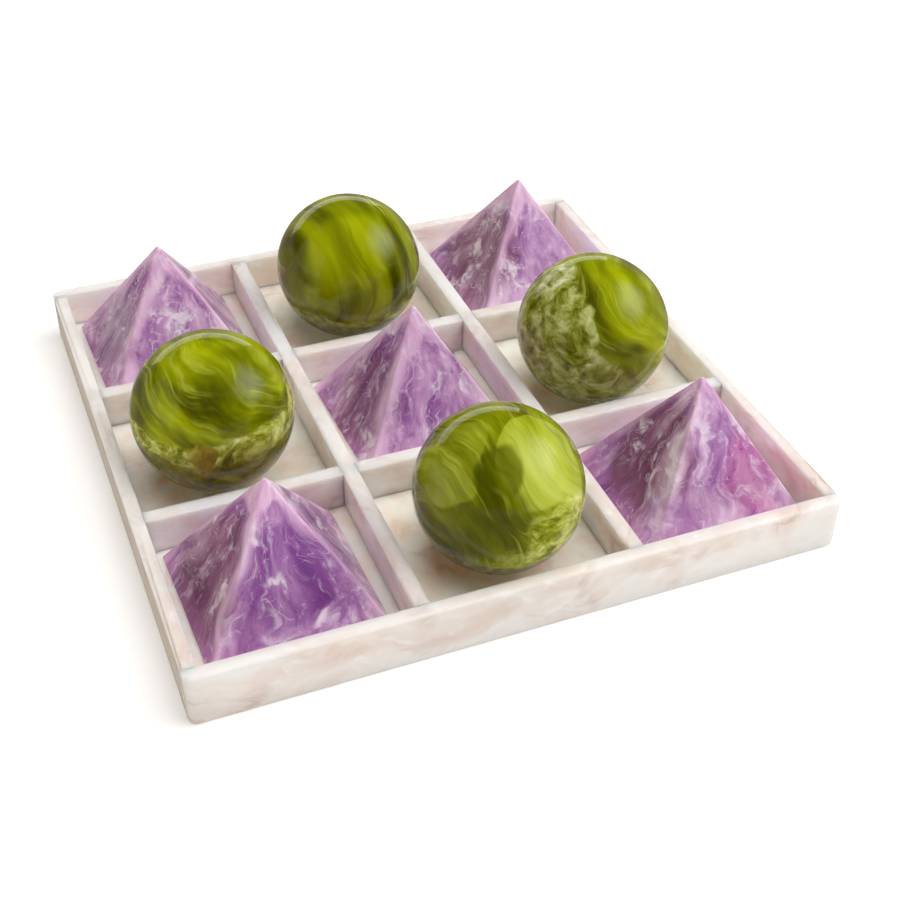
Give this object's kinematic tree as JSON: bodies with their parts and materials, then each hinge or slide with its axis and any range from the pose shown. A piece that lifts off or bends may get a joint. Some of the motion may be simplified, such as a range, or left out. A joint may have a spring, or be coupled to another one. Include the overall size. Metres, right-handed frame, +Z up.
{
  "type": "tic tac toe set",
  "caption": "Square open tray divided into a grid of cells, holding loose square pyramids and balls as playing pieces, all in marbled cast resin.",
  "frame": {"origin": "middle of the tray's underside, on the surface that it stands on", "axes": "+X to the right and +Y to the back as seen from the front edge, +Z up"},
  "size_m": [0.305, 0.305, 0.0843],
  "materials": {
    "tray_resin": "gloss",
    "pyramid_resin": "gloss",
    "ball_resin": "gloss"
  },
  "bodies": {
    "tray": {"base_panel": "tray_resin", "wall_front": "tray_resin", "wall_back": "tray_resin", "wall_left": "tray_resin", "wall_right": "tray_resin", "divider_long_left": "tray_resin", "divider_long_right": "tray_resin", "divider_front_left": "tray_resin", "divider_front_middle": "tray_resin", "divider_front_right": "tray_resin", "divider_back_left": "tray_resin", "divider_back_middle": "tray_resin", "divider_back_right": "tray_resin"},
    "pyramid_front_left": {"pyramid_front_left": "pyramid_resin"},
    "pyramid_front_right": {"pyramid_front_right": "pyramid_resin"},
    "pyramid_centre": {"pyramid_centre": "pyramid_resin"},
    "pyramid_back_left": {"pyramid_back_left": "pyramid_resin"},
    "pyramid_back_right": {"pyramid_back_right": "pyramid_resin"},
    "ball_front": {"ball_front": "ball_resin"},
    "ball_left": {"ball_left": "ball_resin"},
    "ball_right": {"ball_right": "ball_resin"},
    "ball_back": {"ball_back": "ball_resin"}
  },
  "joints": [
    {"name": "pyramid_front_left_lift", "type": "slide", "parent": "tray", "child": "pyramid_front_left", "axis": [0, 0, 1], "range_m": [0, 0.045]},
    {"name": "pyramid_front_right_lift", "type": "slide", "parent": "tray", "child": "pyramid_front_right", "axis": [0, 0, 1], "range_m": [0, 0.045]},
    {"name": "pyramid_centre_lift", "type": "slide", "parent": "tray", "child": "pyramid_centre", "axis": [0, 0, 1], "range_m": [0, 0.045]},
    {"name": "pyramid_back_left_lift", "type": "slide", "parent": "tray", "child": "pyramid_back_left", "axis": [0, 0, 1], "range_m": [0, 0.045]},
    {"name": "pyramid_back_right_lift", "type": "slide", "parent": "tray", "child": "pyramid_back_right", "axis": [0, 0, 1], "range_m": [0, 0.045]},
    {"name": "ball_front_lift", "type": "slide", "parent": "tray", "child": "ball_front", "axis": [0, 0, 1], "range_m": [0, 0.045]},
    {"name": "ball_left_lift", "type": "slide", "parent": "tray", "child": "ball_left", "axis": [0, 0, 1], "range_m": [0, 0.045]},
    {"name": "ball_right_lift", "type": "slide", "parent": "tray", "child": "ball_right", "axis": [0, 0, 1], "range_m": [0, 0.045]},
    {"name": "ball_back_lift", "type": "slide", "parent": "tray", "child": "ball_back", "axis": [0, 0, 1], "range_m": [0, 0.045]}
  ]
}
